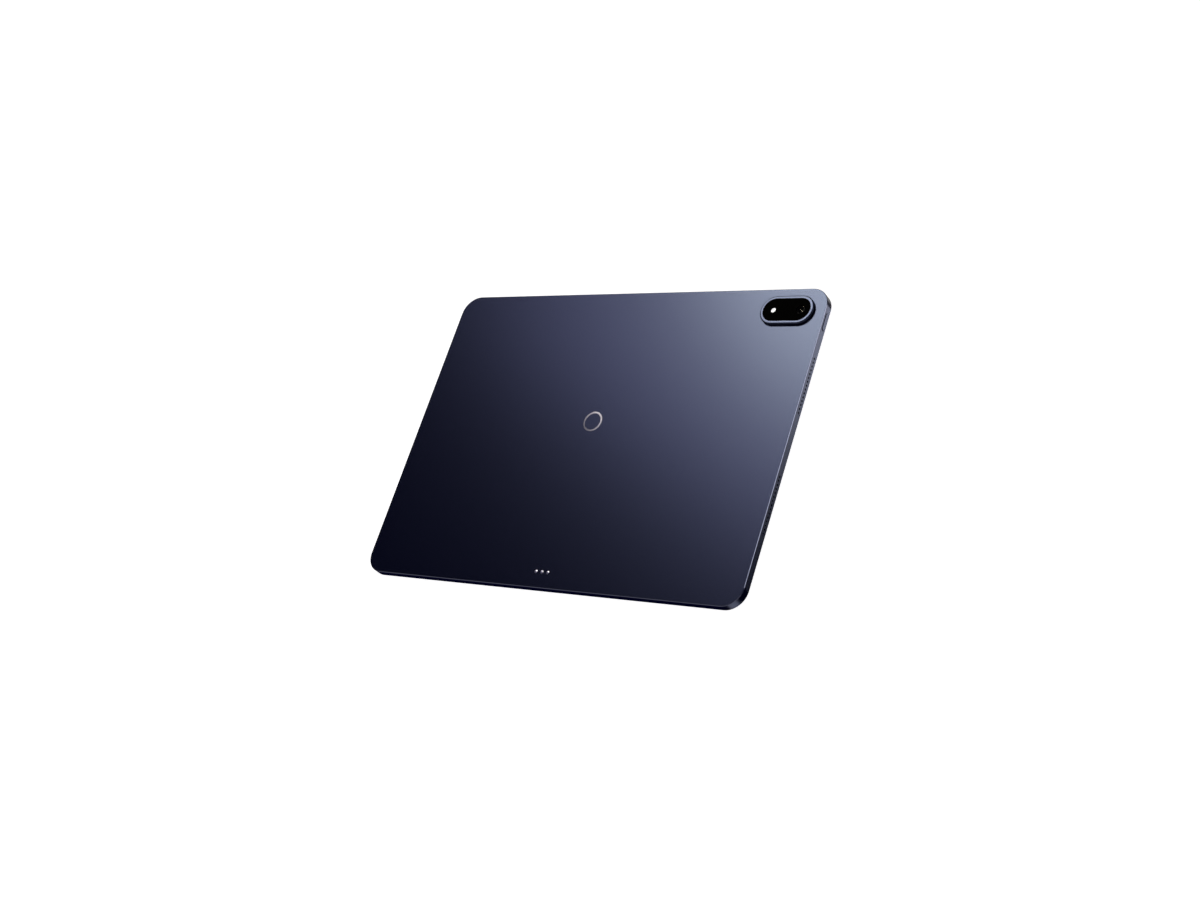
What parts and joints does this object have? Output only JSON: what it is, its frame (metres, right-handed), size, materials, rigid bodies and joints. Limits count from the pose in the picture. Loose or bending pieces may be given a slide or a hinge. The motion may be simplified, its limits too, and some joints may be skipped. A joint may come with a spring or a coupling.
{
  "type": "tablet computer",
  "caption": "Thin metal tablet computer with a raised camera island at one corner, side speaker grilles, side buttons and a glass front",
  "frame": {"origin": "middle of the front glass, on its outer face, which is the face the tablet lies on", "axes": "+X along the long side towards the end with the rear camera and the power button, +Y towards the long edge beside the camera, +Z out of the metal back"},
  "size_m": [0.2899, 0.21, 0.008],
  "materials": {
    "anodised_aluminium": "satin navy anodised, fine bead blast",
    "polished_metal": "polished and tinted",
    "gold_plated_contact": "plated, lightly domed",
    "front_glass": "polished aluminosilicate glass over a dark display",
    "camera_glass": "polished, printed black inside",
    "lens_glass": "coated optical glass",
    "diffuser_plastic": "frosted white",
    "black_plastic": "moulded, fine texture",
    "clear_plastic": "clear sheet",
    "black_rubber": "closed-cell foam and adhesive",
    "display_cell": "thin glass sandwich",
    "steel_sheet": "thin stamped sheet",
    "aluminium_sheet": "thin pressed sheet",
    "pouch_foil": "black laminated foil",
    "circuit_board": "solder mask over copper",
    "flex_circuit": "polyimide film",
    "chip_package": "moulded epoxy",
    "thermal_gel": "soft filler pad",
    "nickel_plate": "plated magnet",
    "copper_wire": "enamelled winding",
    "ferrite": "pressed ferrite sheet"
  },
  "bodies": {
    "tablet": {"ambient_light_sensor": "chip_package", "backlight_led_strip": "flex_circuit", "backlight_tray": "aluminium_sheet", "battery_adhesive": "black_rubber", "battery_cell_left": "pouch_foil", "battery_cell_right": "pouch_foil", "battery_protection_board": "circuit_board", "board_screws": "steel_sheet", "camera_bracket": "steel_sheet", "camera_ring": "anodised_aluminium", "camera_window": "camera_glass", "contact_insulator": "black_plastic", "cover_glass": "front_glass", "display_flex": "flex_circuit", "display_gasket": "black_rubber", "emblem_ring": "polished_metal", "flash_board": "circuit_board", "flash_diffuser": "diffuser_plastic", "front_camera_housing": "black_plastic", "front_camera_lens": "lens_glass", "interconnect_flex": "flex_circuit", "keyboard_contacts": "gold_plated_contact", "keyboard_magnets": "nickel_plate", "lcd_cell": "display_cell", "light_guide_plate": "clear_plastic", "main_board": "circuit_board", "memory_chips": "chip_package", "microphones": "chip_package", "optical_adhesive": "clear_plastic", "optical_film_stack": "clear_plastic", "power_key_bracket": "steel_sheet", "power_key_flex": "flex_circuit", "processor": "chip_package", "rear_camera_board": "circuit_board", "rear_camera_housing": "steel_sheet", "rear_camera_sensor": "chip_package", "rear_housing": "anodised_aluminium", "reflector_sheet": "diffuser_plastic", "shield_cans": "steel_sheet", "speaker_box_left_lower": "black_plastic", "speaker_box_left_upper": "black_plastic", "speaker_box_right_lower": "black_plastic", "speaker_box_right_upper": "black_plastic", "speaker_drivers": "steel_sheet", "speaker_meshes": "steel_sheet", "stylus_charging_coil": "copper_wire", "stylus_coil_ferrite": "ferrite", "support_chips": "chip_package", "thermal_pad": "thermal_gel", "usb_board": "circuit_board", "usb_connector_shell": "steel_sheet", "usb_connector_tongue": "black_plastic", "volume_key_bracket": "steel_sheet", "volume_key_flex": "flex_circuit", "volume_rocker_pin": "steel_sheet", "wifi_antennas": "flex_circuit"},
    "power_button": {"power_button": "anodised_aluminium"},
    "volume_rocker": {"volume_rocker": "anodised_aluminium"},
    "autofocus_carrier": {"rear_camera_lens_carrier": "black_plastic", "rear_camera_lenses": "lens_glass"}
  },
  "joints": [
    {"name": "power_button_press", "type": "slide", "parent": "tablet", "child": "power_button", "axis": [-1, 0, 0], "range_m": [0, 0.00025], "stiffness_N_per_m": 3000},
    {"name": "volume_rocker_tilt", "type": "hinge", "parent": "tablet", "child": "volume_rocker", "pos_m": [0.108, 0.10095, 0.003], "axis": [0, 0, 1], "range_deg": [-1.2, 1.2], "stiffness_Nm_per_rad": 0.5},
    {"name": "autofocus_travel", "type": "slide", "parent": "tablet", "child": "autofocus_carrier", "axis": [0, 0, 1], "range_m": [0, 0.0003], "stiffness_N_per_m": 400}
  ]
}
